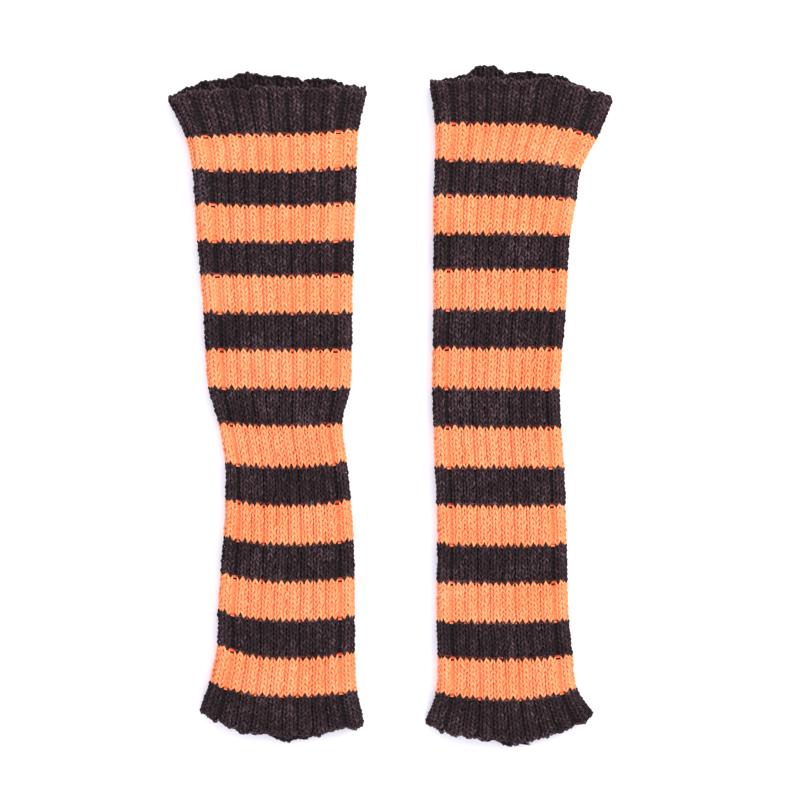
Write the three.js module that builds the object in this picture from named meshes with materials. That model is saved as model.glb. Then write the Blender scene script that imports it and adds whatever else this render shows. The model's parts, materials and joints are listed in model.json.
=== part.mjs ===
// A pair of ribbed knit arm warmers: two open tubes without thumb holes, lying flat side by side.
// Millimetres, +Z up. The arm openings face +Y and the hand openings face -Y.
// The origin is the centre of the pair's underside.
import * as THREE from 'three';

// Driving dimensions
const WALL = 3.2;               // one layer of the chunky two-by-two rib
const ARM_GAP = 7;              // free height between the front and back layers
const PIECE_GAP = 0.3;          // clearance between neighbouring pieces
const EDGE_LENGTH = 3;          // cast-on or bind-off chain, measured along the sleeve
const SEAM_WIDTH = 5;           // ridge that joins the tube, inside the back layer
const SEAM_HEIGHT = 1.2;
const STRIPES = 15;             // orange and black in turn, orange at both ends
const MID_FOLD = 9;             // boundary where the sleeve folds in half
const TAIL_RADIUS = 1.1;        // yarn end left at the cast-on
const TAIL_LENGTH = 12;

// Each outline row: band boundary, width of the tube there, sideways drift of its middle.
const LEFT = {
  name: 'left', middleX: -58, armEndY: 167.6,
  armCuff: 26.8, handCuff: 19.9,
  stripes: { upper: 18.2, middle: 19.2, lower: 20.1 },
  outline: [
    [0, 104, -6.5], [1, 89.6, -4.2], [3, 84, -2.2], [8, 74.4, -0.5], [9, 66, 0.6],
    [10, 64, 3.1], [12, 68, 4.4], [15, 71.2, 3.7], [16, 75.4, 2.6], [17, 86.8, 1],
  ],
};
const RIGHT = {
  name: 'right', middleX: 58, armEndY: 170.7,
  armCuff: 23.9, handCuff: 22.8,
  stripes: { upper: 19, middle: 20.4, lower: 20.2 },
  outline: [
    [0, 95, 9], [1, 86.8, 7.8], [2, 78, 3.4], [4, 71.2, -0.5], [8, 66.8, -3.2],
    [10, 66.8, -2], [12, 67.9, -0.4], [15, 70, 1.2], [16, 75, 2.3], [17, 88.4, 3.9],
  ],
};
const UPPER_STRIPES = 4;        // stripes knit at the upper length, next to the arm cuff
const MIDDLE_STRIPES = 3;       // stripes after them, at the middle length

// Fineness of the faceted solids
const ARC_SEGMENTS = 3;         // facets in each quarter turn of a rounded side edge
const CUFF_STEPS = 4;
const STRIPE_STEPS = 2;
const SEAM_STEPS = 8;
const TAIL_STEPS = 6;
const TAIL_SEGMENTS = 4;        // facets in each half turn of the yarn end

const HEIGHT = 2 * WALL + ARM_GAP;
const ORANGE = { color: 0xff9a5c, roughness: 0.9, metalness: 0 };
const BLACK = { color: 0x3c3336, roughness: 0.95, metalness: 0 };

// Smooth curve through the outline rows: column 1 is the width, column 2 the drift.
function alongOutline(rows, column, place) {
  const last = rows.length - 2;
  let i = 0;
  while (i < last && place > rows[i + 1][0]) i += 1;
  const slope = (j, k) => (rows[k][column] - rows[j][column]) / (rows[k][0] - rows[j][0]);
  const span = rows[i + 1][0] - rows[i][0];
  const startSlope = i > 0 ? slope(i - 1, i + 1) : slope(0, 1);
  const endSlope = i < last ? slope(i, i + 2) : slope(i, i + 1);
  const t = (place - rows[i][0]) / span;
  const rise = rows[i + 1][column] - rows[i][column];
  const bend = t * (1 - t) * ((1 - t) * (startSlope * span - rise) - t * (endSlope * span - rise));
  return rows[i][column] + rise * t + bend;
}

// The Y of every band boundary, from the arm end (0) to the hand end (STRIPES + 2).
function bandBoundaries(sleeve) {
  const edges = [sleeve.armEndY, sleeve.armEndY - sleeve.armCuff];
  for (let i = 0; i < STRIPES; i += 1) {
    let length = sleeve.stripes.lower;
    if (i < UPPER_STRIPES + MIDDLE_STRIPES) length = sleeve.stripes.middle;
    if (i < UPPER_STRIPES) length = sleeve.stripes.upper;
    edges.push(edges.at(-1) - length);
  }
  edges.push(edges.at(-1) - sleeve.handCuff);
  return edges;
}

// Boundary number, with its fraction, at a given Y.
function placeAt(edges, y) {
  let i = 0;
  while (i < edges.length - 2 && y < edges[i + 1]) i += 1;
  const place = i + (edges[i] - y) / (edges[i] - edges[i + 1]);
  return Math.min(Math.max(place, 0), edges.length - 1);
}

// Flat-bottomed oval, a straight run with a half circle at each side, as a path or a hole.
function oval(path, width, height, bottom) {
  const radius = height / 2;
  const run = width / 2 - radius;
  path.absarc(run, bottom + radius, radius, -Math.PI / 2, Math.PI / 2, false);
  path.absarc(-run, bottom + radius, radius, Math.PI / 2, 1.5 * Math.PI, false);
  path.closePath();
  return path;
}

// Turns a solid drawn in X and height, and extruded by depth, to run from startY towards -Y.
function layAlongSleeve(geometry, startY) {
  geometry.rotateX(Math.PI / 2);
  geometry.translate(0, startY, 0);
  return geometry;
}

// Moves each point sideways by half the change in width and by the drift at its own Y.
function followOutline(geometry, sleeve, edges, drawnWidth) {
  const point = geometry.attributes.position;
  for (let i = 0; i < point.count; i += 1) {
    const place = placeAt(edges, point.getY(i));
    const drift = alongOutline(sleeve.outline, 2, place);
    const width = drawnWidth === null ? 0 : alongOutline(sleeve.outline, 1, place) - drawnWidth;
    point.setX(i, point.getX(i) + Math.sign(point.getX(i)) * width / 2 + drift);
  }
  point.needsUpdate = true;
  geometry.computeVertexNormals();
  return geometry;
}

function addPiece(group, name, geometry, finish) {
  const mesh = new THREE.Mesh(geometry, new THREE.MeshStandardMaterial(finish));
  mesh.name = name;
  group.add(mesh);
}

// A ring of the flattened tube between two Y values.
function tubeRing(sleeve, edges, startY, endY, steps) {
  const drawnWidth = alongOutline(sleeve.outline, 1, placeAt(edges, startY));
  const section = oval(new THREE.Shape(), drawnWidth, HEIGHT, 0);
  section.holes.push(oval(new THREE.Path(), drawnWidth - 2 * WALL, ARM_GAP, WALL));
  const geometry = new THREE.ExtrudeGeometry(section, {
    depth: startY - endY, steps, bevelEnabled: false, curveSegments: ARC_SEGMENTS,
  });
  return followOutline(layAlongSleeve(geometry, startY), sleeve, edges, drawnWidth);
}

// Both cuffs and the stripes between them. Odd bands are orange.
function addBands(group, sleeve, edges) {
  const lastBand = STRIPES + 1;
  for (let band = 0; band <= lastBand; band += 1) {
    const isCuff = band === 0 || band === lastBand;
    const startY = edges[band] - (band === 0 ? EDGE_LENGTH + PIECE_GAP : PIECE_GAP / 2);
    const endY = edges[band + 1] + (band === lastBand ? EDGE_LENGTH + PIECE_GAP : PIECE_GAP / 2);
    const orange = band % 2 === 1;
    let name = `${sleeve.name}_${orange ? 'orange' : 'black'}_stripe_${Math.ceil(band / 2)}`;
    if (band === 0) name = `${sleeve.name}_arm_cuff`;
    if (band === lastBand) name = `${sleeve.name}_hand_cuff`;
    const steps = isCuff ? CUFF_STEPS : STRIPE_STEPS;
    addPiece(group, name, tubeRing(sleeve, edges, startY, endY, steps), orange ? ORANGE : BLACK);
  }
}

// The knitting starts at the cast-on chain at the hand end and stops at the bind-off chain.
function addChainEdges(group, sleeve, edges) {
  const handY = edges.at(-1);
  const bindOff = tubeRing(sleeve, edges, edges[0], edges[0] - EDGE_LENGTH, 1);
  const castOn = tubeRing(sleeve, edges, handY + EDGE_LENGTH, handY, 1);
  addPiece(group, `${sleeve.name}_bind_off_edge`, bindOff, BLACK);
  addPiece(group, `${sleeve.name}_cast_on_edge`, castOn, BLACK);
}

// The joining seam lies inside the tube on the back layer, in one length for each part that folds.
function addSeam(group, sleeve, edges) {
  const bottom = WALL + PIECE_GAP;
  const half = SEAM_WIDTH / 2;
  const shoulder = half - SEAM_HEIGHT / 2;
  const section = new THREE.Shape();
  section.moveTo(-half, bottom);
  section.lineTo(half, bottom);
  section.lineTo(shoulder, bottom + SEAM_HEIGHT);
  section.lineTo(-shoulder, bottom + SEAM_HEIGHT);
  section.closePath();
  const lengths = [
    ['arm_cuff_seam', edges[0], edges[1]],
    ['upper_seam', edges[1], edges[MID_FOLD]],
    ['lower_seam', edges[MID_FOLD], edges[STRIPES + 1]],
    ['hand_cuff_seam', edges[STRIPES + 1], edges[STRIPES + 2]],
  ];
  for (const [name, startY, endY] of lengths) {
    const geometry = new THREE.ExtrudeGeometry(section, {
      depth: startY - endY - PIECE_GAP, steps: SEAM_STEPS, bevelEnabled: false,
    });
    layAlongSleeve(geometry, startY - PIECE_GAP / 2);
    followOutline(geometry, sleeve, edges, null);
    addPiece(group, `${sleeve.name}_${name}`, geometry, BLACK);
  }
}

// A short frayed yarn end that lies in front of the cast-on edge.
function addYarnEnd(group, sleeve, edges) {
  const handX = alongOutline(sleeve.outline, 2, STRIPES + 2);
  const startY = edges.at(-1) - PIECE_GAP - TAIL_RADIUS;
  const route = new THREE.CatmullRomCurve3([
    new THREE.Vector3(handX, startY, TAIL_RADIUS),
    new THREE.Vector3(handX + TAIL_LENGTH / 3, startY - TAIL_RADIUS / 2, TAIL_RADIUS),
    new THREE.Vector3(handX + 2 * TAIL_LENGTH / 3, startY - TAIL_RADIUS, TAIL_RADIUS),
    new THREE.Vector3(handX + TAIL_LENGTH, startY - TAIL_RADIUS / 2, TAIL_RADIUS),
  ]);
  const section = new THREE.Shape().absarc(0, 0, TAIL_RADIUS, 0, 2 * Math.PI, false);
  const geometry = new THREE.ExtrudeGeometry(section, {
    extrudePath: route, steps: TAIL_STEPS, bevelEnabled: false, curveSegments: TAIL_SEGMENTS,
  });
  addPiece(group, `${sleeve.name}_yarn_end`, geometry, BLACK);
}

function makeSleeve(sleeve) {
  const group = new THREE.Group();
  const edges = bandBoundaries(sleeve);
  addBands(group, sleeve, edges);
  addChainEdges(group, sleeve, edges);
  addSeam(group, sleeve, edges);
  if (sleeve === RIGHT) addYarnEnd(group, sleeve, edges);
  group.position.x = sleeve.middleX;
  return group;
}

// The pair, with the middle of its underside on the origin.
const pair = new THREE.Group();
pair.add(makeSleeve(LEFT), makeSleeve(RIGHT));
const box = new THREE.Box3().setFromObject(pair);
pair.position.set(-(box.min.x + box.max.x) / 2, -(box.min.y + box.max.y) / 2, -box.min.z);
pair.updateMatrixWorld(true);

export default pair;
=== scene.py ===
import json
import math
import bpy
import numpy as np
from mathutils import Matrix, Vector


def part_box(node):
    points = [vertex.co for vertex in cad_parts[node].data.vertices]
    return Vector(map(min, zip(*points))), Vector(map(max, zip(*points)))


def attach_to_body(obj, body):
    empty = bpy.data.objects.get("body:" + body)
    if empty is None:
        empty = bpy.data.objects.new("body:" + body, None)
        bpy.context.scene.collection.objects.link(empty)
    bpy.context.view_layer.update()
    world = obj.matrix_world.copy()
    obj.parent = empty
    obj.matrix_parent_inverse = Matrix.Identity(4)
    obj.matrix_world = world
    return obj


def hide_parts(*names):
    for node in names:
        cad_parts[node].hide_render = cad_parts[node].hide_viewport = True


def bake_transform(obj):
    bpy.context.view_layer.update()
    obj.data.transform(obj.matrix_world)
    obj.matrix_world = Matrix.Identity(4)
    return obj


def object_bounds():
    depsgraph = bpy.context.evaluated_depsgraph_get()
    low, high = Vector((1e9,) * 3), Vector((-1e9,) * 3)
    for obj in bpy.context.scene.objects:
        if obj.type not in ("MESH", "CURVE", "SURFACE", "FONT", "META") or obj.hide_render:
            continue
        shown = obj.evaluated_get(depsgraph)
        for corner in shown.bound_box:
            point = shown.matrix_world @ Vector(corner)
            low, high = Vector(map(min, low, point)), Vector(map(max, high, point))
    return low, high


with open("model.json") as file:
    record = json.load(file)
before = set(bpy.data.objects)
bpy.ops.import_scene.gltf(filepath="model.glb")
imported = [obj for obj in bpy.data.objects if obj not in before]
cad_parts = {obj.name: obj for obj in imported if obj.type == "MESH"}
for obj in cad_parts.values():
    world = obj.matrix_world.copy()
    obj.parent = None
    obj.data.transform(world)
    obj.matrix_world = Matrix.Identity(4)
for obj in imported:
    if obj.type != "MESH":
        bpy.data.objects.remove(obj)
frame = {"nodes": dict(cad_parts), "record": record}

cad_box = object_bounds()
MM = 0.001

# ---------------------------------------------------------------------------
# The tube. Each sleeve is one panel of two-by-two rib, knitted from the hand
# end to the arm end and sewn up along its back. It lies flat, flared at both
# cuffs, where the rib is stretched open, and a little pinched at mid length.
RIBS = 22                        # ribs round the tube, each of two knit wales
STRIPE_COURSES = 8               # rows of stitches in one stripe
ARM_CUFF_COURSES = 10
HAND_CUFF_COURSES = 9
STRIPES = 15
BAND_GAP = 0.3                   # mm between the CAD's bands
OUT_REACH = 1.4                  # mm from the front stitches' middle to their outermost yarn
SIDE_REACH = 0.8                 # the same at the side edges, where single stitches stand out
TUBE_RADIUS = 5.2                # mm, half the height between the two layers' stitches
CREST_RADIUS = 3.3               # mm, the roundness of a rib when the cloth is relaxed
RELAXED_PITCH = 7.2              # mm from rib to rib when its grooves just close
WIDENING = 0.85                  # how much of a stretch the ribs take, the grooves take the rest
# The mm that some grooves are spread, most of all those next to the side edges.
OPEN_GROOVES = {2: 0.5, 5: 0.7, 7: 1.6, 9: 0.5, 12: 0.6, 15: 1.6, 18: 0.5, 20: 0.6}
SLUMP = 1.3                      # mm that the front layer sinks between its side edges
RIPPLE = 0.3                     # mm of slow waviness in the front layer
RIPPLE_ALONG = 17                # mm for one radian of its waves along the sleeve
RIPPLE_ACROSS = 13               # the same across it
RIPPLE_SLANT = 29                # mm along the sleeve in which the waves across shift one radian
FRONT_SHARPNESS = 2.2            # how late the front's rows of stitches turn towards the sides
RIM_SCALLOP = 0.35               # mm that each rib stands out of the rim
RIM_WOBBLE = 0.6                 # mm of looser waviness along the rim
WOBBLE_LENGTHS = (5.9, 3.1)      # mm for one radian of its long and its short waves
RIM_REACH = 1.8                  # courses over which both die out
GROOVE_RUN = 0.4                 # ribs over which a spread groove pushes its two sides apart

# How the cloth lies at some band boundaries: the boundary, counted from the arm end, how far the
# left and right side edges lie to the right of the CAD's, and how far up the row of stitches lies
# from its straight line at the left edge, the front, the right edge and the back. In mm.
LYING = {
    "left": [
        (0, -0.2, 0.3, -8.9, -3.6, -4.8, 2.6),
        (1, -0.4, 0.8, -1.4, 0.2, 2.8, 1.0),
        (2, -0.2, 0.4, 0.8, -0.3, 2.3, 1.0),
        (4, -0.6, -0.5, 0.0, -0.7, 0.3, 0.0),
        (6, 0.5, -0.2, 0.2, -0.4, 0.2, 0.0),
        (8, 0.0, 0.3, -0.6, -1.2, -1.0, -0.8),
        (9, -0.1, -0.7, 0.8, -1.0, 0.3, 0.4),
        (10, 0.1, 0.0, 0.3, -2.0, 0.9, 0.6),
        (12, 0.0, 0.3, 2.0, -2.2, 0.5, 1.2),
        (14, -1.7, 0.3, 4.0, -1.5, 0.8, 2.0),
        (15, -0.9, 0.0, 5.8, -1.7, 1.7, 2.2),
        (16, -1.8, 0.2, 6.4, -0.8, 1.9, 1.5),
        (17, 0.1, 0.1, 11.7, -0.8, 4.5, -5.0),
    ],
    "right": [
        (0, 0.3, 1.5, -3.1, -1.9, -12.0, 2.2),
        (1, 0.2, -1.2, 0.3, -0.3, -7.4, 1.0),
        (2, 0.3, -0.9, 0.8, -0.2, -4.4, 0.0),
        (3, -0.2, 1.2, 0.8, 0.2, -1.6, 0.0),
        (4, 0.0, 0.7, 0.0, 0.0, -0.7, 0.0),
        (6, 0.4, 1.6, -0.1, -0.1, -0.1, 0.0),
        (8, -0.1, 0.1, 0.2, -0.7, -0.6, 0.0),
        (10, 0.1, 1.2, -0.9, -1.1, -1.1, 0.0),
        (12, 0.3, 0.3, -0.4, -1.7, -0.4, 0.0),
        (14, -0.6, 0.0, -0.4, -1.1, 0.4, 0.0),
        (15, -0.1, 0.7, 1.0, -0.7, 1.9, 0.5),
        (16, 0.4, -0.6, 2.9, -0.8, 4.8, 1.0),
        (17, -0.3, 0.0, 10.0, 1.0, 14.2, -1.9),
    ],
}
# How late the back's rows turn towards the sides, at the arm end and at the hand end.
BACK_SHARPNESS = {"left": (2.9, 0.8), "right": (1.9, 0.8)}
# The back layer's arm rim stands up in one place. This is how far right of the rim's middle it
# does so, half the width of that peak, and its height, in mm.
BACK_PEAKS = {"left": (-13.5, 7.0, 2.2), "right": (-19.0, 9.0, 3.4)}


def band_names():
    """The bands from the arm end: cuff, then orange and black stripes in turn, then cuff."""
    names = ["arm_cuff"]
    for band in range(1, STRIPES + 1):
        names.append(f"{'orange' if band % 2 else 'black'}_stripe_{(band + 1) // 2}")
    return names + ["hand_cuff"]


def through(xs, ys, at):
    """The smooth curve through the points (xs, ys), read at each number in at."""
    slopes = np.gradient(ys, xs)
    i = np.clip(np.searchsorted(xs, at) - 1, 0, len(xs) - 2)
    span = xs[i + 1] - xs[i]
    t = np.clip((at - xs[i]) / span, 0, 1)
    rise = ys[i + 1] - ys[i]
    bend = (1 - t) * (slopes[i] * span - rise) - t * (slopes[i + 1] * span - rise)
    return ys[i] + rise * t + t * (1 - t) * bend


def side_edges(nodes, starts):
    """The x of the left and right side edges where each band starts, in mm."""
    corners = [vertex.co for node in nodes for vertex in frame["nodes"][node].data.vertices]
    corners = np.array(corners) / MM
    rings = [corners[np.abs(corners[:, 1] - start) < BAND_GAP] for start in starts]
    return [np.array([ring[:, 0].min() for ring in rings]),
            np.array([ring[:, 0].max() for ring in rings])]


def make_sleeve(side):
    """Where the bands of one sleeve start, in mm and in courses from the arm end, and its rows of
    left and right side edge and of left, front, right and back lift, one number per boundary."""
    bands = [f"{side}_{name}" for name in band_names()]
    nodes = [f"{side}_bind_off_edge", *bands, f"{side}_cast_on_edge"]
    boxes = [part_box(node) for node in nodes]
    starts = [boxes[0][1].y, *((a[0].y + b[1].y) / 2 for a, b in zip(boxes[1:], boxes[2:-1])),
              boxes[-1][0].y]
    starts = np.array(starts) / MM
    courses = [ARM_CUFF_COURSES] + [STRIPE_COURSES] * STRIPES + [HAND_CUFF_COURSES]
    lying = np.array(LYING[side])
    rows = [through(lying[:, 0], column, np.arange(len(starts))) for column in lying[:, 1:].T]
    rows[:2] = np.add(rows[:2], side_edges(nodes, starts))
    offset, reach, height = BACK_PEAKS[side]
    return {
        "side": side,
        "bands": bands,
        "starts": starts,
        "first": np.concatenate([[0], np.cumsum(courses)]),
        "rows": rows,
        "back_sharpness": BACK_SHARPNESS[side],
        "peak": ((rows[0][0] + rows[1][0]) / 2 + offset, reach, height),
        "phase": 0.0 if side == "left" else 2.0,
    }


def read_rows(sleeve, course):
    """Which band a course lies in, with its fraction, and the sleeve's rows there."""
    boundaries = np.arange(len(sleeve["first"]))
    band = np.interp(course, sleeve["first"], boundaries)
    return band, [through(boundaries, row, band) for row in sleeve["rows"]]


def opening(rib):
    """How many mm the spread grooves have pushed this part of the cloth round the tube."""
    total = 0
    for groove, width in OPEN_GROOVES.items():
        total = total + width * (np.clip((rib - groove) / GROOVE_RUN + 0.5, 0, 1) - rib / RIBS)
    return total


def rib_pitch(sleeve, course):
    """The mm round the tube from one rib to the next."""
    _, (left, right, *_) = read_rows(sleeve, course)
    return (2 * (right - left) + 2 * (math.pi - 2) * TUBE_RADIUS - 4 * SIDE_REACH) / RIBS


def widening(pitch):
    return (pitch / RELAXED_PITCH) ** WIDENING


def place(sleeve, course, rib, aside, out):
    """Points on the tube, in metres. course counts from the arm end and rib from the seam; aside
    and out are mm round the tube and out from the front stitches' middle."""
    band, (left, right, left_dy, front_dy, right_dy, back_dy) = read_rows(sleeve, course)
    half = (right - left) / 2 - SIDE_REACH
    run = 2 * (half - TUBE_RADIUS)
    arc = math.pi * TUBE_RADIUS
    pitch = rib_pitch(sleeve, course)
    s1 = (rib * pitch + opening(rib) + aside) % (RIBS * pitch) - run / 2
    s2 = s1 - arc
    s3 = s2 - run
    s4 = s3 - arc
    parts = [s1 < 0, s2 < 0, s3 < 0, s4 < 0]
    turn1, turn3 = s1 / TUBE_RADIUS, s3 / TUBE_RADIUS
    side_x = np.select(parts, [0 * s1, -np.sin(turn1), 0 * s1, np.sin(turn3)], 0)
    side_z = np.select(parts, [0 * s1 - 1, -np.cos(turn1), 0 * s1 + 1, np.cos(turn3)], -1)
    line_x = np.select(parts, [-s1 - run / 2, 0 * s1 - run / 2, s2 - run / 2, 0 * s1 + run / 2],
                       run / 2 - s4)
    x = line_x + (TUBE_RADIUS + out) * side_x
    z = (TUBE_RADIUS + out) * side_z
    across = np.clip(x / half, -1, 1)
    front = (side_z + 1) / 2
    x = x + (left + right) / 2

    edge_dy = np.where(across < 0, left_dy, right_dy)
    front_edge = np.abs(across) ** FRONT_SHARPNESS
    back_edge = np.abs(across) ** np.interp(band, [0, STRIPES + 2], sleeve["back_sharpness"])
    front_row = front_dy + (edge_dy - front_dy) * front_edge
    back_row = back_dy + (edge_dy - back_dy) * back_edge
    starts, first = sleeve["starts"], sleeve["first"]
    y = np.interp(course, first, starts) + front * front_row + (1 - front) * back_row
    y += np.minimum(course, 0) * (starts[1] - starts[0]) / first[1]
    y += np.maximum(course - first[-1], 0) * (starts[-1] - starts[-2]) / (first[-1] - first[-2])

    at_arm = np.exp(-np.maximum(course, 0) / RIM_REACH)
    at_hand = np.exp(-np.maximum(first[-1] - course, 0) / RIM_REACH)
    scallop = -RIM_SCALLOP * np.cos(2 * math.pi * (rib + aside / pitch))
    layer = 2 * front + sleeve["phase"]
    long, short = WOBBLE_LENGTHS
    wobble = RIM_WOBBLE * (np.sin(x / long + 3 * layer) + 0.7 * np.sin(x / short + 5 * layer))
    y += (at_arm - at_hand) * scallop + (at_arm + at_hand) * wobble
    middle, reach, height = sleeve["peak"]
    y += (1 - front) * np.sqrt(at_arm) * height * np.exp(-((x - middle) / reach) ** 4)

    phase = sleeve["phase"]
    wave = np.sin(y / RIPPLE_ALONG + phase) + np.sin(x / RIPPLE_ACROSS + y / RIPPLE_SLANT + phase)
    z += front * (RIPPLE * wave - SLUMP * (1 - across ** 2))
    return np.stack([x, y, z + TUBE_RADIUS + OUT_REACH], axis=-1) * MM


def place_on_rib(sleeve, course, rib, aside, out):
    """Points on the tube where the sides of a rib are rolled down into the grooves."""
    stretch = widening(rib_pitch(sleeve, course))
    radius = CREST_RADIUS * stretch
    turn = aside / CREST_RADIUS
    return place(sleeve, course, rib, (radius + out) * np.sin(turn),
                 (radius + out) * np.cos(turn) - radius)


sleeves = [make_sleeve("left"), make_sleeve("right")]


# ---------------------------------------------------------------------------
# The yarn. Soft acrylic, worsted weight, spun and plied, in neon orange and in
# black. Acrylic is matt with a faint sheen where loose fibres catch the light,
# and the black has grey specks because single fibres stand out of the twist.
def linear(hex_colour):
    """An sRGB hex colour such as "ff9a5c" as linear red, green, blue and alpha."""
    values = [int(hex_colour[i:i + 2], 16) / 255 for i in (0, 2, 4)]
    return (*((v / 12.92 if v <= 0.04045 else ((v + 0.055) / 1.055) ** 2.4) for v in values), 1)


def add(tree, kind, links=None, **settings):
    """A new node with its settings, and its inputs set to values or linked. A link comes from a
    socket, from a node's first output, or from each of a list of these."""
    node = tree.nodes.new(kind)
    for name, value in settings.items():
        setattr(node, name, value)
    for socket, value in (links or {}).items():
        for source in value if isinstance(value, list) else [value]:
            if isinstance(source, bpy.types.Node):
                source = source.outputs[0]
            if isinstance(source, bpy.types.NodeSocket):
                tree.links.new(source, node.inputs[socket])
            else:
                node.inputs[socket].default_value = source
    return node


FIBRE_WIDTH = 0.35               # mm across the streaks of fibre that run along the yarn
FIBRE_STRETCH = 0.3              # how much longer than wide the streaks are, as width over length
TUFT_WIDTH = 1.6                 # mm across a tuft of pile
PATCH_WIDTH = 17                 # mm across a patch of slightly different tone
TWIST_STEP = 3.4                 # mm along the yarn for one turn of its two plies
STREAK_SHIFT = 50.0              # mm, how far apart the streaks of two unlike stitches may start
# The tone starts dark, and each of these may lighten it by its share; the height's share is painted
# shade, darker deeper in the stitch.
START_TONE = -0.34
STITCH_SHARE = 0.12
FIBRE_SHARE = 0.68
PILE_SHARE = 0.5
PATCH_SHARE = 0.35
HEIGHT_SHADE_SHARE = 0.14


def yarn_material(name, shades, sheen, sheen_tint):
    """Matt plied acrylic. Fibre, pile and a slight change from stitch to stitch choose its colour,
    and the height in the stitch paints shade into it, from the dark between the strands to the lit
    fibres on top."""
    material = bpy.data.materials.new(name)
    material.use_nodes = True
    tree = material.node_tree
    tree.nodes.clear()
    on_object = add(tree, "ShaderNodeTexCoord").outputs["Object"]
    stitch, height, along = (add(tree, "ShaderNodeAttribute", attribute_name=mark).outputs["Fac"]
                             for mark in ("shade", "height", "along"))
    around = add(tree, "ShaderNodeAttribute", attribute_name="around").outputs["Vector"]
    across = add(tree, "ShaderNodeSeparateXYZ", {"Vector": around}).outputs

    own_start = add(tree, "ShaderNodeMath", {0: stitch, 1: STREAK_SHIFT}, operation="MULTIPLY")
    stretched = add(tree, "ShaderNodeMath", {0: along, 1: FIBRE_STRETCH, 2: own_start},
                    operation="MULTIPLY_ADD")
    streak = add(tree, "ShaderNodeCombineXYZ", {"X": across["X"], "Y": across["Y"], "Z": stretched})
    fibre = add(tree, "ShaderNodeTexNoise", {
        "Vector": streak, "Scale": 1 / FIBRE_WIDTH, "Detail": 3.0, "Roughness": 0.6})
    pile = add(tree, "ShaderNodeTexNoise", {
        "Vector": on_object, "Scale": 1 / (TUFT_WIDTH * MM), "Detail": 2.0})
    patch = add(tree, "ShaderNodeTexNoise", {
        "Vector": on_object, "Scale": 1 / (PATCH_WIDTH * MM), "Detail": 2.0})
    tone = add(tree, "ShaderNodeMath", {0: stitch, 1: STITCH_SHARE, 2: START_TONE},
               operation="MULTIPLY_ADD")
    for layer, share in ((fibre, FIBRE_SHARE), (pile, PILE_SHARE), (patch, PATCH_SHARE),
                         (height, HEIGHT_SHADE_SHARE)):
        tone = add(tree, "ShaderNodeMath", {0: layer, 1: share, 2: tone}, operation="MULTIPLY_ADD")
    ramp = add(tree, "ShaderNodeValToRGB", {"Fac": tone})
    stops = ramp.color_ramp.elements
    stops[0].position, stops[0].color = 0.25, linear(shades[0])
    stops[1].position, stops[1].color = 0.85, linear(shades[3])
    for position, shade in ((0.42, shades[1]), (0.60, shades[2])):
        stops.new(position).color = linear(shade)

    angle = add(tree, "ShaderNodeMath", {0: across["Y"], 1: across["X"]}, operation="ARCTAN2")
    turn = add(tree, "ShaderNodeMath", {0: along, 1: 2 * math.pi / TWIST_STEP}, operation="MULTIPLY")
    twist = add(tree, "ShaderNodeMath", {0: angle, 1: 2.0, 2: turn}, operation="MULTIPLY_ADD")
    ply = add(tree, "ShaderNodeMath", {0: twist}, operation="SINE")
    relief = add(tree, "ShaderNodeMath", {0: ply, 1: 0.5, 2: fibre}, operation="MULTIPLY_ADD")
    bump = add(tree, "ShaderNodeBump", {"Strength": 0.8, "Distance": 0.0004, "Height": relief})
    shader = add(tree, "ShaderNodeBsdfPrincipled", {
        "Base Color": ramp, "Roughness": 0.85, "Specular IOR Level": 0.25, "Sheen Weight": sheen,
        "Sheen Roughness": 0.5, "Sheen Tint": linear(sheen_tint), "Normal": bump})
    add(tree, "ShaderNodeOutputMaterial", {"Surface": shader})
    return material


yarns = {
    "orange": yarn_material("orange_acrylic_yarn", ("fb8452", "fd8e5a", "ff9e67", "ffb88e"),
                            0.2, "ffc8a8"),
    "black": yarn_material("black_acrylic_yarn", ("0c0305", "190a0d", "29161a", "6a545a"),
                           0.08, "b0a8ae"),
}
# The cloth behind the stitches only shows in the grooves. Its colours are painted shade, deeper and
# redder than the yarn's, for the shade there and the light that its own colour throws back into it.
painted_shade_grounds = {
    "orange": yarn_material("orange_yarn_painted_shade_in_grooves", ("ee4a28", "ff8e5a", "ff9864", "ffa270"),
                            0.0, "ffb080"),
    "black": yarn_material("black_yarn_painted_shade_in_grooves", ("070304", "0e0608", "150b0d", "21161a"),
                           0.0, "b0a8ae"),
}


def colour_of(name):
    return "orange" if "orange" in name else "black"


# ---------------------------------------------------------------------------
# How the cloth moves. Each piece goes stiffly with its part of the sleeve, except those of
# the cuffs and those that begin at the fold across the middle, which are baked in place.
body_of_node = {node: body for body, nodes in frame["record"]["behaviour"]["bodies"].items()
                for node in nodes}


def attach(piece, node):
    """The piece stands for a CAD node, in its colour, and moves with that node's body, except on the
    cuffs and from the fold across the middle, where it is baked in place.
    """
    body = body_of_node[node]
    cuff = "cuff" in body
    # Orange stripe 5 and the lower seam begin at the fold across the middle of the sleeve.
    if cuff or "orange_stripe_5" in node or "lower_seam" in node:
        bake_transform(piece)
    else:
        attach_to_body(piece, body)
    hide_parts(node)


# ---------------------------------------------------------------------------
# The stitches. On a knit wale each stitch shows two legs of yarn that rise and
# spread like a V, then slip behind the next stitch. Between two ribs the purl
# side shows low bars of yarn, and on the inside of the tube it's the reverse.
RIB_PITCH = 8.0                  # mm of flat panel for one rib and its groove
WALE_WIDTH = 3.5
COURSE_HEIGHT = 2.4
BAR_WIDTH = 2.1
YARN_RADIUS = 0.98
GROOVE_DEPTH = 1.6               # mm from the front stitches down to the purl bars
GROOVE_SHADE = 0.8               # painted shade: how much lower the bars in the grooves count where height sets the colour, for the darker, redder orange of their shade
INSIDE_DEPTH = 3.2               # mm from the front stitches to those inside the tube
INNER_BAR_DEPTH = 1.7            # mm from the front stitches to the purl bars inside the tube
STRAND_TIP = 0.58                # how thick a strand is at its ends, as a share of the yarn
STRAND_SWELL = 1.8               # four times how much thicker its middle is, as such a share
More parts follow.
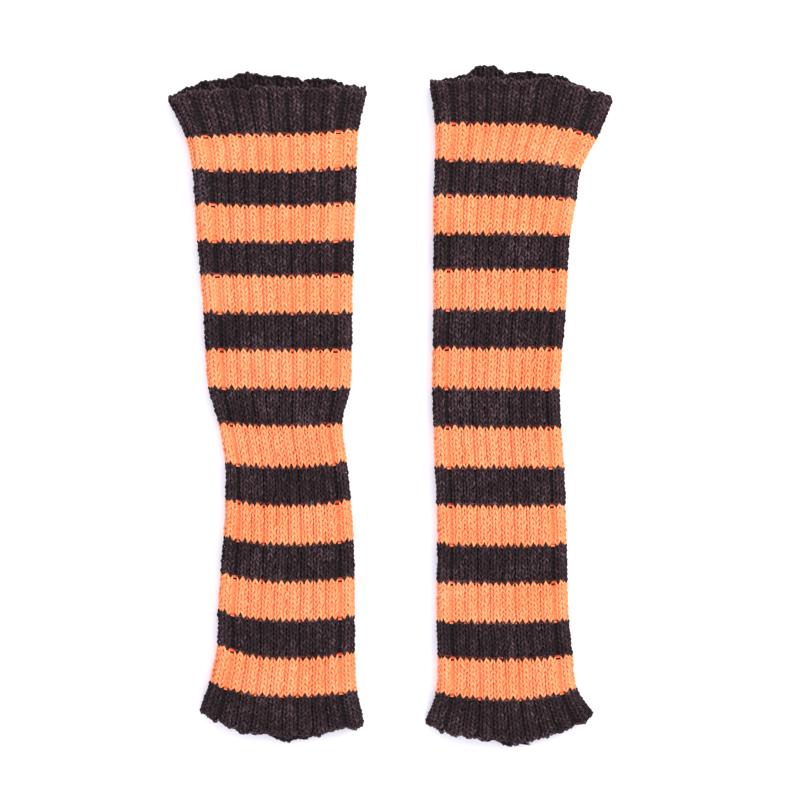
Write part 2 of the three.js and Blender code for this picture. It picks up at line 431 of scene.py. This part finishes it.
# Ends and handles of a strand, in wale widths, course heights and yarn radii.
LEG = [(0.10, -0.30, -0.60), (0.09, 0.30, 0.80), (0.45, 0.65, 0.80), (0.42, 1.38, -0.90)]
BAR = [(-0.38, -0.56, -0.90), (-0.22, -0.40, 0.45), (0.22, -0.40, 0.45), (0.38, -0.56, -0.90)]
FRONT, GROOVE, INSIDE, INSIDE_GROOVE = 0.0, 1.0, 2.0, 3.0


def strand_points(shape, x, mirror=1):
    return [(x + mirror * a * WALE_WIDTH, b * COURSE_HEIGHT, c * YARN_RADIUS) for a, b, c in shape]


def knit_stitches(steps, where):
    """The four legs of one rib's two stitches, as (points, steps, sides, where)."""
    middles = (RIB_PITCH / 2 - WALE_WIDTH / 2, RIB_PITCH / 2 + WALE_WIDTH / 2)
    return [(strand_points(LEG, x, mirror), steps, 5, where) for x in middles for mirror in (1, -1)]


def purl_bars(where):
    """The bars of the two stitches between two ribs."""
    return [(strand_points(BAR, x), 3, 4, where) for x in (-BAR_WIDTH / 2, BAR_WIDTH / 2)]


outside_strands = knit_stitches(4, FRONT) + purl_bars(GROOVE)
inside_strands = knit_stitches(3, INSIDE) + purl_bars(INSIDE_GROOVE)


def new_tree(name, inputs):
    """A tree that makes a Geometry from inputs, given as names and kinds, and those inputs."""
    tree = bpy.data.node_groups.new(name, "GeometryNodeTree")
    tree.interface.new_socket("Geometry", in_out="OUTPUT", socket_type="NodeSocketGeometry")
    for label, kind in inputs.items():
        tree.interface.new_socket(label, in_out="INPUT", socket_type=f"NodeSocket{kind}")
    return tree, add(tree, "NodeGroupInput").outputs


def strand_mesh(tree, radius, points, steps, sides, where):
    """One short length of yarn on a curve, thinner at both ends, marked with where it lies."""
    start, handle1, handle2, end = points
    curve = add(tree, "GeometryNodeCurvePrimitiveBezierSegment", {
        "Resolution": steps, "Start": start, "Start Handle": handle1, "End Handle": handle2,
        "End": end}, mode="POSITION")
    spline = add(tree, "GeometryNodeSplineParameter").outputs
    here = add(tree, "GeometryNodeInputPosition")
    curve = add(tree, "GeometryNodeStoreNamedAttribute", {
        "Geometry": curve, "Name": "along", "Value": spline["Length"]})
    left = add(tree, "ShaderNodeMath", {0: 1.0, 1: spline["Factor"]}, operation="SUBTRACT")
    swell = add(tree, "ShaderNodeMath", {0: spline["Factor"], 1: left}, operation="MULTIPLY")
    scale = add(tree, "ShaderNodeMath", {0: swell, 1: STRAND_SWELL, 2: STRAND_TIP},
                operation="MULTIPLY_ADD")
    profile = add(tree, "GeometryNodeCurvePrimitiveCircle", {
        "Resolution": sides, "Radius": radius}, mode="RADIUS")
    profile = add(tree, "GeometryNodeStoreNamedAttribute", {
        "Geometry": profile, "Name": "around", "Value": here}, data_type="FLOAT_VECTOR")
    tube = add(tree, "GeometryNodeCurveToMesh", {
        "Curve": curve, "Profile Curve": profile, "Scale": scale, "Fill Caps": True})
    # Painted shade: the strand's height, lower still for the bars in the grooves, darkens its colour
    # where it lies deep.
    up = add(tree, "ShaderNodeSeparateXYZ", {"Vector": here}).outputs["Z"]
    height = add(tree, "ShaderNodeMath", {0: up, 1: GROOVE_SHADE * (where == GROOVE)},
                 operation="SUBTRACT")
    tube = add(tree, "GeometryNodeStoreNamedAttribute", {
        "Geometry": tube, "Name": "height", "Value": height})
    return add(tree, "GeometryNodeStoreNamedAttribute", {
        "Geometry": tube, "Name": "where", "Value": where})


def make_strand_tree(name, strands):
    """Rows of the same few strands in a flat panel, in mm: x round the tube, y towards the arm
    end, z out of the cloth. Each strand is turned and sized a little differently."""
    tree, given = new_tree(name, {
        "Columns": "Int", "Rows": "Int", "Column Step": "Float", "Row Step": "Float",
        "Yarn Radius": "Float", "Unevenness": "Float", "Seed": "Int", "Material": "Material"})
    index = add(tree, "GeometryNodeInputIndex")
    column = add(tree, "ShaderNodeMath", {0: index, 1: given["Columns"]}, operation="FLOORED_MODULO")
    rows_before = add(tree, "ShaderNodeMath", {0: index, 1: given["Columns"]}, operation="DIVIDE")
    row = add(tree, "ShaderNodeMath", {0: rows_before}, operation="FLOOR")
    x = add(tree, "ShaderNodeMath", {0: column, 1: given["Column Step"]}, operation="MULTIPLY")
    y = add(tree, "ShaderNodeMath", {0: row, 1: given["Row Step"]}, operation="MULTIPLY")
    count = add(tree, "ShaderNodeMath", {0: given["Columns"], 1: given["Rows"]},
                operation="MULTIPLY")
    points = add(tree, "GeometryNodePoints", {
        "Count": count, "Position": add(tree, "ShaderNodeCombineXYZ", {"X": x, "Y": y})})
    rows_of_strands = []
    for number, strand_shape in enumerate(strands):
        seed = add(tree, "ShaderNodeMath", {0: given["Seed"], 1: number}, operation="ADD")
        uneven = add(tree, "FunctionNodeRandomValue", {
            "Min": (-1.0, -1.0, -1.0), "Max": (1.0, 1.0, 1.0), "Seed": seed},
            data_type="FLOAT_VECTOR")
        turn = add(tree, "ShaderNodeVectorMath", {0: uneven, "Scale": given["Unevenness"]},
                   operation="SCALE")
        size = add(tree, "ShaderNodeVectorMath", {0: turn, 1: (0.6, 0.4, 1.0), 2: (1.0, 1.0, 1.0)},
                   operation="MULTIPLY_ADD")
        copies = add(tree, "GeometryNodeInstanceOnPoints", {
            "Points": points, "Instance": strand_mesh(tree, given["Yarn Radius"], *strand_shape),
            "Rotation": add(tree, "FunctionNodeEulerToRotation", {"Euler": turn}), "Scale": size})
        shade = add(tree, "FunctionNodeRandomValue", {"Seed": seed}, data_type="FLOAT").outputs[1]
        for mark, value in (("shade", shade), ("column", column)):
            copies = add(tree, "GeometryNodeStoreNamedAttribute", {
                "Geometry": copies, "Name": mark, "Value": value}, domain="INSTANCE")
        rows_of_strands.append(copies)
    joined = add(tree, "GeometryNodeJoinGeometry", {"Geometry": rows_of_strands})
    real = add(tree, "GeometryNodeRealizeInstances", {"Geometry": joined})
    smooth = add(tree, "GeometryNodeSetShadeSmooth", {"Geometry": real})
    coloured = add(tree, "GeometryNodeSetMaterial", {
        "Geometry": smooth, "Material": given["Material"]})
    add(tree, "NodeGroupOutput", {"Geometry": coloured})
    return tree


def run_nodes(piece, tree, values):
    """Gives the piece the plain mesh that a tree makes from its mesh and these input values."""
    modifier = piece.modifiers.new("nodes", "NODES")
    modifier.node_group = tree
    for socket in tree.interface.items_tree:
        if socket.in_out == "INPUT" and socket.name in values:
            modifier[socket.identifier] = values[socket.name]
    depsgraph = bpy.context.evaluated_depsgraph_get()
    mesh = bpy.data.meshes.new_from_object(piece.evaluated_get(depsgraph))
    piece.modifiers.remove(modifier)
    piece.data = mesh


def grown(name, tree, values):
    """A new object with the plain mesh that a tree makes from these input values."""
    piece = bpy.data.objects.new(name, bpy.data.meshes.new(name))
    bpy.context.scene.collection.objects.link(piece)
    run_nodes(piece, tree, values)
    piece.data.name = name
    return piece


def flat_points(mesh):
    """The x, y and z of a mesh's points, then what they say of where they lie and their column."""
    points = np.zeros(len(mesh.vertices) * 3, np.float32)
    mesh.vertices.foreach_get("co", points)
    rows = list(points.reshape(-1, 3).astype(float).T)
    for name in ("where", "column"):
        values = np.zeros(len(mesh.vertices), np.float32)
        mesh.attributes[name].data.foreach_get("value", values)
        rows.append(np.round(values.astype(float)))
    return rows


def move_to(mesh, points):
    mesh.vertices.foreach_set("co", points.astype(np.float32).ravel())
    mesh.update()


def lay_stitches(mesh, sleeve, last_course):
    """Wraps a flat panel round the tube, its first row ending at last_course."""
    x, y, z, where, column = flat_points(mesh)
    course = last_course - y / COURSE_HEIGHT
    aside = x - (column + 0.5) * RIB_PITCH
    points = place_on_rib(sleeve, course, column + 0.5, aside, z)
    bar = where == GROOVE
    pitch = rib_pitch(sleeve, course)
    spread = sum(OPEN_GROOVES.values()) / RIBS
    room = pitch - spread - 2 * CREST_RADIUS * math.sin(WALE_WIDTH / CREST_RADIUS) * widening(pitch)
    room = room + sum(width * (column == groove) for groove, width in OPEN_GROOVES.items())
    across = (x - column * RIB_PITCH) * room / (2 * BAR_WIDTH)
    bar_course = np.minimum(course, sleeve["first"][-1])
    bars = place(sleeve, bar_course, column, across, z - GROOVE_DEPTH)
    points[bar] = bars[bar]
    inside = where == INSIDE
    turn = aside / CREST_RADIUS
    radius = CREST_RADIUS * widening(pitch)
    inner = place(sleeve, course, column + 1, -(radius + z) * np.sin(turn),
                  radius - INSIDE_DEPTH - (radius + z) * np.cos(turn))
    points[inside] = inner[inside]
    inner_bar = where == INSIDE_GROOVE
    inner_bars = place(sleeve, bar_course, column + 0.5, -across, -INNER_BAR_DEPTH - z)
    points[inner_bar] = inner_bars[inner_bar]
    move_to(mesh, points)


# Loose fibres stand out of the yarn all over, a couple of millimetres long. Sizes in metres.
FUZZ_PER_BAND = 225
FUZZ_LENGTH = 0.0024
FUZZ_RADIUS = 0.00003
FUZZ_LEAN = 0.7                  # radians that a fibre leans at most, in any direction


def make_fuzz_tree():
    """Adds bent loose fibres to a mesh, in metres."""
    tree, given = new_tree("loose_fibres", {
        "Geometry": "Geometry", "Density": "Float", "Length": "Float", "Fibre Radius": "Float",
        "Seed": "Int", "Material": "Material"})
    roots = add(tree, "GeometryNodeDistributePointsOnFaces", {
        "Mesh": given["Geometry"], "Density": given["Density"], "Seed": given["Seed"]}).outputs
    line = add(tree, "GeometryNodeCurvePrimitiveBezierSegment", {
        "Resolution": 3, "Start": (0, 0, 0), "Start Handle": (0.0, 0.0, 0.5),
        "End Handle": (0.2, 0.25, 0.7), "End": (0.8, 0.1, 0.6)}, mode="POSITION")
    length = add(tree, "ShaderNodeCombineXYZ", {axis: given["Length"] for axis in "XYZ"})
    line = add(tree, "GeometryNodeTransform", {"Geometry": line, "Scale": length})
    profile = add(tree, "GeometryNodeCurvePrimitiveCircle", {
        "Resolution": 3, "Radius": given["Fibre Radius"]}, mode="RADIUS")
    fibre = add(tree, "GeometryNodeCurveToMesh", {
        "Curve": line, "Profile Curve": profile, "Fill Caps": True})
    lean = add(tree, "FunctionNodeRandomValue", {
        "Min": (-FUZZ_LEAN, -FUZZ_LEAN, -3.14), "Max": (FUZZ_LEAN, FUZZ_LEAN, 3.14),
        "Seed": given["Seed"]},
        data_type="FLOAT_VECTOR")
    turned = add(tree, "FunctionNodeRotateRotation", {
        "Rotation": roots["Rotation"], "Rotate By": lean}, rotation_space="LOCAL")
    size = add(tree, "FunctionNodeRandomValue", {
        "Min": (0.5, 0.5, 0.3), "Max": (1.3, 1.3, 0.9), "Seed": given["Seed"]},
        data_type="FLOAT_VECTOR")
    copies = add(tree, "GeometryNodeInstanceOnPoints", {
        "Points": roots["Points"], "Instance": fibre, "Rotation": turned, "Scale": size})
    # Painted light: the fibres count as high as the tops of the stitches, so they take the yarn's lit
    # tone.
    copies = add(tree, "GeometryNodeStoreNamedAttribute", {
        "Geometry": copies, "Name": "height", "Value": 1.0}, domain="INSTANCE")
    real = add(tree, "GeometryNodeRealizeInstances", {"Geometry": copies})
    coloured = add(tree, "GeometryNodeSetMaterial", {
        "Geometry": real, "Material": given["Material"]})
    joined = add(tree, "GeometryNodeJoinGeometry", {"Geometry": [coloured, given["Geometry"]]})
    add(tree, "NodeGroupOutput", {"Geometry": joined})
    return tree


def add_fuzz(piece, fibres, seed, material):
    """Lets about this many loose fibres stand out of the piece, none of them into the table."""
    area = sum(face.area for face in piece.data.polygons)
    run_nodes(piece, fuzz_tree, {
        "Density": fibres / area, "Length": FUZZ_LENGTH, "Fibre Radius": FUZZ_RADIUS, "Seed": seed,
        "Material": material})
    rest_on_table(piece.data)


def rest_on_table(mesh):
    """Presses the fibres that would reach into the table flat against it."""
    points = np.zeros(len(mesh.vertices) * 3, np.float32)
    mesh.vertices.foreach_get("co", points)
    points[2::3] = np.maximum(points[2::3], FUZZ_RADIUS)
    move_to(mesh, points)


fuzz_tree = make_fuzz_tree()
stripe_tree = make_strand_tree("stripe_stitches", outside_strands)
cuff_tree = make_strand_tree("cuff_stitches", outside_strands + inside_strands)
for sleeve in sleeves:
    for band, name in enumerate(sleeve["bands"]):
        first, last = sleeve["first"][band:band + 2]
        piece = grown(f"{name}_stitches", cuff_tree if "cuff" in name else stripe_tree, {
            "Columns": RIBS, "Rows": int(last - first), "Column Step": RIB_PITCH,
            "Row Step": COURSE_HEIGHT, "Yarn Radius": YARN_RADIUS, "Unevenness": 0.07,
            "Seed": 100 + 20 * band + int(sleeve["phase"]), "Material": yarns[colour_of(name)]})
        lay_stitches(piece.data, sleeve, last)
        add_fuzz(piece, FUZZ_PER_BAND, band, yarns[colour_of(name)])
        attach(piece, name)


# ---------------------------------------------------------------------------
# The cloth behind the stitches: the same knitting seen as one folded sheet, a
# closed ring for each band that goes in and out with the ribs. It fills the
# gaps between the strands, and the inside of the tube shows it.
CREST_GROUND = 0.5               # mm from the front stitches' middle to the cloth, on a rib
GROOVE_FALL = 1.3                # mm further in the groove
CLOTH_THICKNESS = 0.8
STEPS_PER_RIB = 6
SHADED_END = -3.0                # painted shade: makes the last of each colour, under the next one, look deeper and redder
BLEED = 0.55                     # courses that orange shows through under the black stitches
END_ROWS = (0.8, 2.2)            # courses from a ring's ends at which it has extra rows of corners


def cloth_fold(rib):
    return 0.5 + 0.5 * np.cos(2 * math.pi * rib)


def cloth_ring(name, sleeve, first, last, material):
    around = RIBS * STEPS_PER_RIB
    rib = np.arange(around)[None, :] / STEPS_PER_RIB
    near, far = END_ROWS
    course = np.array([first, first + near, first + far, (first + last) / 2,
                       last - far, last - near, last])[:, None]
    outer = -CREST_GROUND - GROOVE_FALL * cloth_fold(rib)
    points = np.concatenate([place(sleeve, course, rib, 0, out)
                             for out in (outer, outer - CLOTH_THICKNESS)])
    rings = [*range(len(course)), *range(2 * len(course) - 1, len(course) - 1, -1), 0]
    faces = []
    for a, b in zip(rings, rings[1:]):
        for j in range(around):
            k = (j + 1) % around
            faces.append((b * around + j, b * around + k, a * around + k, a * around + j))
    mesh = bpy.data.meshes.new(name)
    mesh.from_pydata(points.reshape(-1, 3).tolist(), [], faces)
    mesh.shade_smooth()
    mesh.materials.append(material)
    height = mesh.attributes.new("height", "FLOAT", "POINT")
    # Painted shade on the ring's first and last rows, where the next colour's stitches lie over it.
    at_end = (course == first) | (course == last)
    shaded = np.broadcast_to(np.where(at_end, SHADED_END, 0.0), (len(course), around)).ravel()
    height.data.foreach_set("value", np.concatenate([shaded, shaded]).astype(np.float32))
    piece = bpy.data.objects.new(name, mesh)
    bpy.context.scene.collection.objects.link(piece)
    return piece


for sleeve in sleeves:
    for band, name in enumerate(sleeve["bands"]):
        colour = colour_of(name)
        bleed = BLEED if colour == "orange" else -BLEED
        first, last = sleeve["first"][band:band + 2]
        inner_ends = (first - bleed * (band > 0), last + bleed * (band < STRIPES + 1))
        cloth = cloth_ring(f"{name}_cloth", sleeve, *inner_ends, painted_shade_grounds[colour])
        attach(cloth, name)


# ---------------------------------------------------------------------------
# The rims. The hand end is cast on and the arm end is bound off, both in black:
# a chain of short, thick loops that runs along the rim, one for every stitch,
# in and out with the ribs.
LOOPS_PER_RIB = 4
LOOP_STEP = RIB_PITCH / LOOPS_PER_RIB
LOOP_RADIUS = 1.1
RIM_DEPTH = 0.8                  # mm from the front stitches to the middle of the chain
# Ends and handles of the outer and the inner half of one loop, in mm.
OUTER_HALF = [(-0.3, -0.8, 0.0), (-0.4, 1.8, 0.8), (1.9, 2.1, 0.8), (2.1, -0.6, 0.1)]
INNER_HALF = [(-0.5, 0.1, -0.3), (0.0, 0.7, -1.1), (1.6, 0.9, -1.1), (2.3, 0.2, -0.3)]
LOOP_SLACK = 0.6                 # mm that a loop stands further out or in than its neighbours
RIM_FUZZ = 130                   # loose fibres along one rim

rim_tree = make_strand_tree("rim_loops", [(OUTER_HALF, 4, 6, FRONT), (INNER_HALF, 4, 6, FRONT)])
for sleeve in sleeves:
    for name, course, away in ((f"{sleeve['side']}_bind_off_edge", 0, -1),
                               (f"{sleeve['side']}_cast_on_edge", sleeve["first"][-1], 1)):
        piece = grown(name + "_loops", rim_tree, {
            "Columns": RIBS * LOOPS_PER_RIB, "Rows": 1, "Column Step": LOOP_STEP, "Row Step": 1.0,
            "Yarn Radius": LOOP_RADIUS, "Unevenness": 0.34, "Seed": 3 + 7 * away,
            "Material": yarns["black"]})
        x, y, z, _, column = flat_points(piece.data)
        slack = np.random.default_rng(5 + away).uniform(-LOOP_SLACK, LOOP_SLACK, RIBS * LOOPS_PER_RIB)
        y += slack[column.astype(int)]
        rib = (column + 0.5) / LOOPS_PER_RIB
        out = z - RIM_DEPTH - GROOVE_FALL * cloth_fold(rib)
        move_to(piece.data, place(sleeve, course + away * y / COURSE_HEIGHT, rib,
                                  x - (column + 0.5) * LOOP_STEP, out))
        add_fuzz(piece, RIM_FUZZ, 5 + away, yarns["black"])
        attach(piece, name)


# ---------------------------------------------------------------------------
# The seam. The panel's two side edges are sewn together in black along the
# back, edge to edge, which leaves a low ridge of slanted stitches inside.
SEAM_RADIUS = 0.55
SEAM_DEPTH = 3.0                 # mm from the front stitches' middle to the ridge
SEAM_HALF = [(0.1, -1.3, -0.2), (0.6, -0.4, 0.5), (1.6, 0.4, 0.5), (2.3, 1.2, -0.4)]
mirrored_half = [(-x, y, z) for x, y, z in SEAM_HALF]

seam_tree = make_strand_tree("seam_stitches", [(SEAM_HALF, 4, 5, FRONT),
                                               (mirrored_half, 4, 5, FRONT)])
SEAMED_BANDS = {"arm_cuff_seam": (0, 1), "upper_seam": (1, 9), "lower_seam": (9, 16),
                "hand_cuff_seam": (16, 17)}
for sleeve in sleeves:
    for part, (first_band, last_band) in SEAMED_BANDS.items():
        name = f"{sleeve['side']}_{part}"
        first, last = sleeve["first"][first_band], sleeve["first"][last_band]
        piece = grown(name + "_stitches", seam_tree, {
            "Columns": 1, "Rows": int(last - first), "Column Step": 1.0, "Row Step": COURSE_HEIGHT,
            "Yarn Radius": SEAM_RADIUS, "Unevenness": 0.1, "Seed": 5 + first_band,
            "Material": yarns["black"]})
        x, y, z, *_ = flat_points(piece.data)
        move_to(piece.data, place(sleeve, last - 0.5 - y / COURSE_HEIGHT, 0 * x, -x, -SEAM_DEPTH - z))
        attach(piece, name)


# ---------------------------------------------------------------------------
# The yarn end. At the right sleeve's hand rim the cast-on tail was snipped
# short: a few plies still twisted where they leave the rim, and frayed apart
# into single fibres at the tip.
END_FIBRES = 12
END_RINGS = 13
END_SIDES = 5
END_TURN = 9                     # radians that a fibre winds round the others in its length
END_SPLAY = (0.8, 1.6, 0.7)      # how far the fibres come apart to each side
FRAY_START = 0.45                # share of the length after which they come apart
END_TWIST = 0.5                  # mm from the middle of the twist to each fibre, at the rim
END_TAPER = 0.33                 # mm that a fibre's radius shrinks from the rim to its tip
END_TIP = 0.07                   # mm, the radius at the tip
low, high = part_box("right_yarn_end")
end_root = np.array([low.x + 0.001, (low.y + high.y) / 2 + 0.0006, (low.z + high.z) / 2])
end_tip = np.array([high.x - 0.001, (low.y + high.y) / 2 - 0.0004, low.z + 0.0007])
fray = np.random.default_rng(11)
vertices, faces = [], []
for fibre in range(END_FIBRES):
    angle = 2 * math.pi * fibre / END_FIBRES
    splay = fray.uniform(-1, 1, 3) * END_SPLAY
    reach = fray.uniform(0.8, 1.05)
    for ring in range(END_RINGS):
        t = ring / (END_RINGS - 1) * reach
        loose = max(0, t - FRAY_START) ** 1.5
        turn = angle + END_TURN * t
        across = np.array([0, math.cos(turn), math.sin(turn)]) * END_TWIST * (1 - 0.3 * t)
        middle = end_root + (end_tip - end_root) * t + (across + splay * loose * 2) * MM
        radius = (END_TAPER * (1 - t) + END_TIP) * MM
        for side in range(END_SIDES):
            around = 2 * math.pi * side / END_SIDES
            vertices.append((middle[0], middle[1] + radius * math.cos(around),
                             max(middle[2], 1.3 * radius) + radius * math.sin(around)))
    start = fibre * END_RINGS * END_SIDES
    for ring in range(END_RINGS - 1):
        for side in range(END_SIDES):
            a, b = start + ring * END_SIDES + side, start + ring * END_SIDES + (side + 1) % END_SIDES
            faces.append((a, b, b + END_SIDES, a + END_SIDES))
    faces.append(tuple(range(start + END_SIDES - 1, start - 1, -1)))
    faces.append(tuple(range(start + (END_RINGS - 1) * END_SIDES, start + END_RINGS * END_SIDES)))
end_mesh = bpy.data.meshes.new("right_yarn_end_fibres")
end_mesh.from_pydata(vertices, [], faces)
end_mesh.shade_smooth()
end_mesh.materials.append(yarns["black"])
yarn_end = bpy.data.objects.new("right_yarn_end_fibres", end_mesh)
bpy.context.scene.collection.objects.link(yarn_end)
attach(yarn_end, "right_yarn_end")


# ---------------------------------------------------------------------------
# The table, the light and the camera. The pair lies on a matt white table in even, bright
# light from all around, with one soft lamp that gives a faint shadow.
FLOOR_SIZE = 3.0
floor_mesh = bpy.data.meshes.new("floor")
corners = [(x * FLOOR_SIZE, y * FLOOR_SIZE, 0) for x, y in ((-1, -1), (1, -1), (1, 1), (-1, 1))]
floor_mesh.from_pydata(corners, [], [(0, 1, 2, 3)])
floor = bpy.data.objects.new("floor", floor_mesh)
bpy.context.scene.collection.objects.link(floor)
floor_material = bpy.data.materials.new("matt_white_table")
floor_material.use_nodes = True
floor_shader = floor_material.node_tree.nodes["Principled BSDF"]
floor_shader.inputs["Base Color"].default_value = linear("f7f6f8")
floor_shader.inputs["Roughness"].default_value = 0.9
floor_shader.inputs["Specular IOR Level"].default_value = 0.1
floor_mesh.materials.append(floor_material)

LAMP_PLACE = (0.9, 0.7, 1.1)     # to the right of, behind and above the pair
lamp_data = bpy.data.lights.new("key", "AREA")
lamp_data.shape = "SQUARE"
lamp_data.size = 0.7
lamp_data.energy = 17
lamp_data.color = linear("fff8f0")[:3]
lamp = bpy.data.objects.new("key", lamp_data)
lamp.location = LAMP_PLACE
lamp.rotation_euler = (-Vector(LAMP_PLACE)).to_track_quat("-Z", "Y").to_euler()
bpy.context.scene.collection.objects.link(lamp)

world = bpy.data.worlds.new("studio")
world.use_nodes = True
world.node_tree.nodes["Background"].inputs["Color"].default_value = linear("f6f5ff")
world.node_tree.nodes["Background"].inputs["Strength"].default_value = 1.6
bpy.context.scene.world = world
bpy.context.scene.view_settings.view_transform = "Standard"

# The camera looks straight down on the pair, from far enough that it shows no perspective.
CAMERA_HEIGHT = 1.9
VIEW_WIDTH = 0.4196              # metres of table that the camera sees from side to side
VIEW_CENTRE = (0.0075, 0.0048)   # the pair lies a little left of and below the middle
camera_data = bpy.data.cameras.new("camera")
camera_data.sensor_width = 36.0
camera_data.lens = camera_data.sensor_width * CAMERA_HEIGHT / VIEW_WIDTH
camera = bpy.data.objects.new("camera", camera_data)
camera.location = (*VIEW_CENTRE, CAMERA_HEIGHT + cad_box[1].z)
bpy.context.scene.collection.objects.link(camera)
bpy.context.scene.camera = camera
